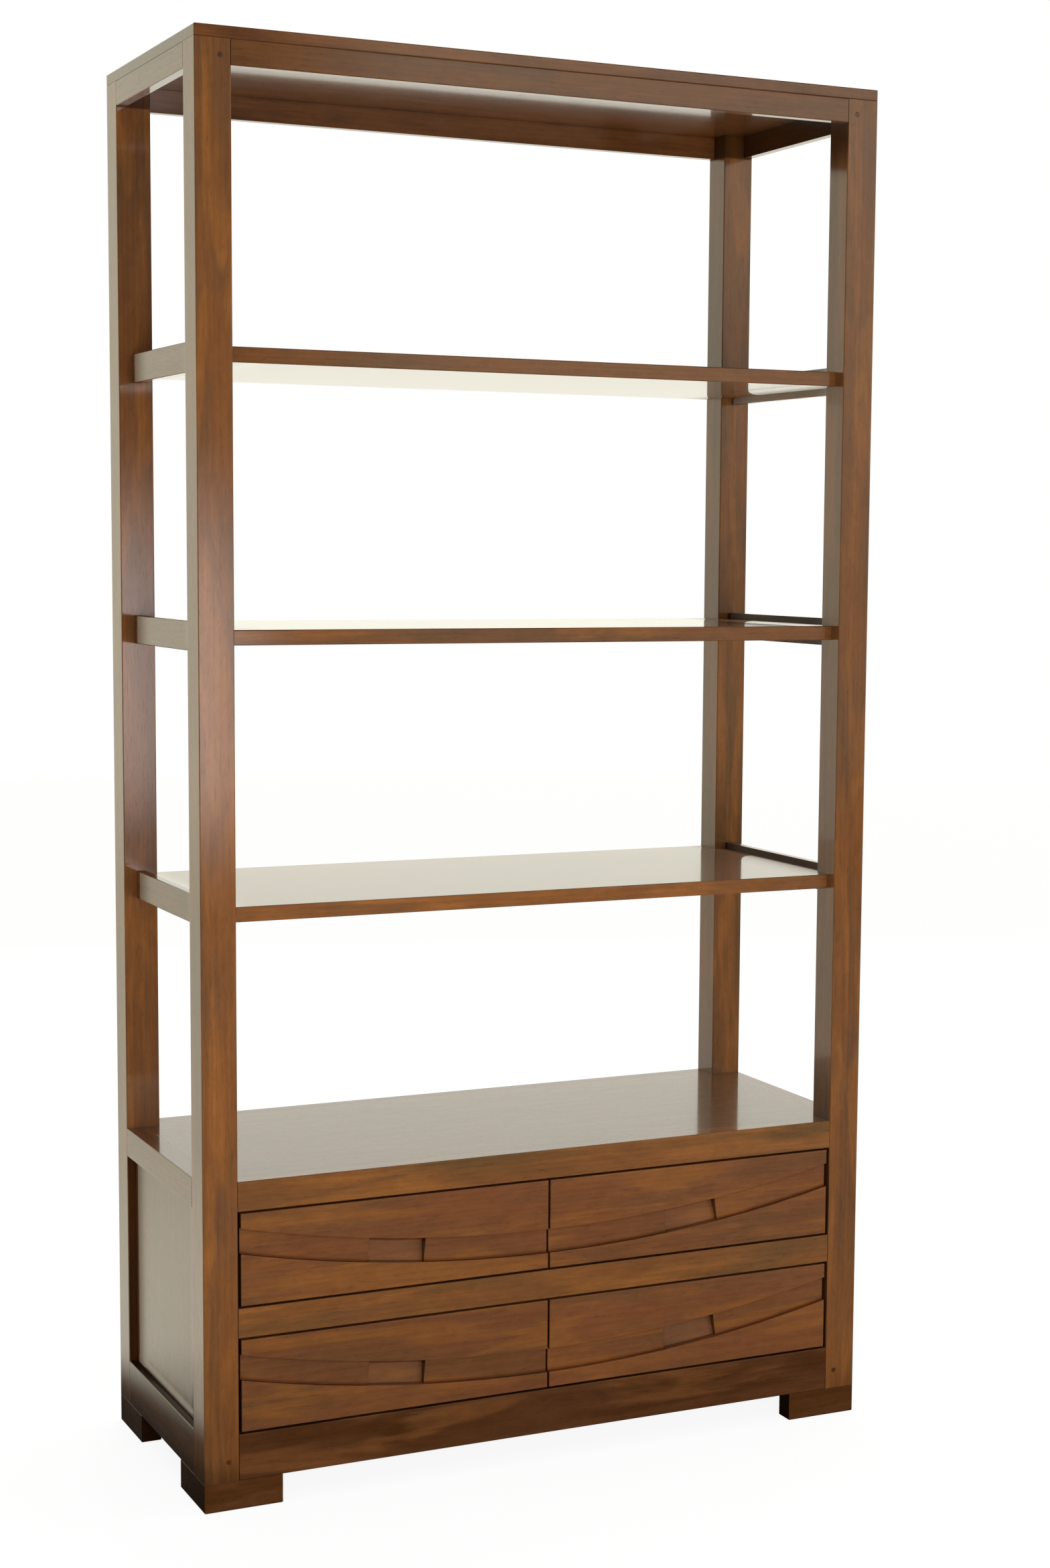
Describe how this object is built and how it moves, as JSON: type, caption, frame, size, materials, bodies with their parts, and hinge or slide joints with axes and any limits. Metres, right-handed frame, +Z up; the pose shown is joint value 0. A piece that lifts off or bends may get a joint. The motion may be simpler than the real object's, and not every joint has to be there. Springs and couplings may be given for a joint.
{
  "type": "bookcase",
  "caption": "Tall open wooden bookcase: square posts carry a flat top and open shelves above a panelled base with drawers whose fronts share a curved recess with finger pulls.",
  "frame": {"origin": "on the floor, at the middle of the footprint", "axes": "+Z up, +X to the viewer's right when facing the drawers, +Y to the back; the drawers open towards -Y"},
  "size_m": [1.04, 0.425, 2],
  "materials": {
    "post_wood": "posts: medium brown stained hardwood with long straight grain and a glossy clear lacquer",
    "rail_wood": "rails: medium brown stained hardwood, grain along each rail, glossy clear lacquer",
    "board_wood": "shelves and tops: medium brown stained hardwood, grain along the board, glossy clear lacquer",
    "panel_wood": "side panels: medium brown stained wood, glossy clear lacquer",
    "drawer_front_wood": "drawer fronts: medium brown stained hardwood with figured grain, glossy clear lacquer",
    "foot_wood": "feet: medium brown stained hardwood, glossy clear lacquer",
    "peg_wood": "pegs: darker end grain, flush",
    "drawer_box_wood": "drawer boxes: thin satin-lacquered wood in the same stain",
    "inner_wood": "hidden runners, partition and back: plain stained wood, matt"
  },
  "bodies": {
    "carcass": {"back_panel": "inner_wood", "base_rail_back_bottom": "rail_wood", "base_rail_back_top": "rail_wood", "base_rail_front_bottom": "rail_wood", "base_rail_front_middle": "rail_wood", "base_rail_front_top": "rail_wood", "base_rail_left_bottom": "rail_wood", "base_rail_left_top": "rail_wood", "base_rail_right_bottom": "rail_wood", "base_rail_right_top": "rail_wood", "base_top_board": "board_wood", "centre_partition": "inner_wood", "drawer_kickers": "inner_wood", "drawer_runners_lower": "inner_wood", "drawer_runners_upper": "inner_wood", "foot_back_left": "foot_wood", "foot_back_right": "foot_wood", "foot_front_left": "foot_wood", "foot_front_right": "foot_wood", "joint_pegs": "peg_wood", "post_back_left": "post_wood", "post_back_right": "post_wood", "post_front_left": "post_wood", "post_front_right": "post_wood", "shelf_board_lower": "board_wood", "shelf_board_middle": "board_wood", "shelf_board_upper": "board_wood", "shelf_rail_lower_left": "rail_wood", "shelf_rail_lower_right": "rail_wood", "shelf_rail_middle_left": "rail_wood", "shelf_rail_middle_right": "rail_wood", "shelf_rail_upper_left": "rail_wood", "shelf_rail_upper_right": "rail_wood", "side_panel_left": "panel_wood", "side_panel_right": "panel_wood", "top_board": "board_wood", "top_rail_back": "rail_wood", "top_rail_front": "rail_wood", "top_rail_left": "rail_wood", "top_rail_right": "rail_wood"},
    "drawer_upper_left": {"drawer_upper_left_back": "drawer_box_wood", "drawer_upper_left_bottom": "drawer_box_wood", "drawer_upper_left_front": "drawer_front_wood", "drawer_upper_left_side_inner": "drawer_box_wood", "drawer_upper_left_side_outer": "drawer_box_wood"},
    "drawer_upper_right": {"drawer_upper_right_back": "drawer_box_wood", "drawer_upper_right_bottom": "drawer_box_wood", "drawer_upper_right_front": "drawer_front_wood", "drawer_upper_right_side_inner": "drawer_box_wood", "drawer_upper_right_side_outer": "drawer_box_wood"},
    "drawer_lower_left": {"drawer_lower_left_back": "drawer_box_wood", "drawer_lower_left_bottom": "drawer_box_wood", "drawer_lower_left_front": "drawer_front_wood", "drawer_lower_left_side_inner": "drawer_box_wood", "drawer_lower_left_side_outer": "drawer_box_wood"},
    "drawer_lower_right": {"drawer_lower_right_back": "drawer_box_wood", "drawer_lower_right_bottom": "drawer_box_wood", "drawer_lower_right_front": "drawer_front_wood", "drawer_lower_right_side_inner": "drawer_box_wood", "drawer_lower_right_side_outer": "drawer_box_wood"}
  },
  "joints": [
    {"name": "drawer_upper_left_slide", "type": "slide", "parent": "carcass", "child": "drawer_upper_left", "axis": [0, -1, 0], "range_m": [0, 0.28]},
    {"name": "drawer_upper_right_slide", "type": "slide", "parent": "carcass", "child": "drawer_upper_right", "axis": [0, -1, 0], "range_m": [0, 0.28]},
    {"name": "drawer_lower_left_slide", "type": "slide", "parent": "carcass", "child": "drawer_lower_left", "axis": [0, -1, 0], "range_m": [0, 0.28]},
    {"name": "drawer_lower_right_slide", "type": "slide", "parent": "carcass", "child": "drawer_lower_right", "axis": [0, -1, 0], "range_m": [0, 0.28]}
  ]
}
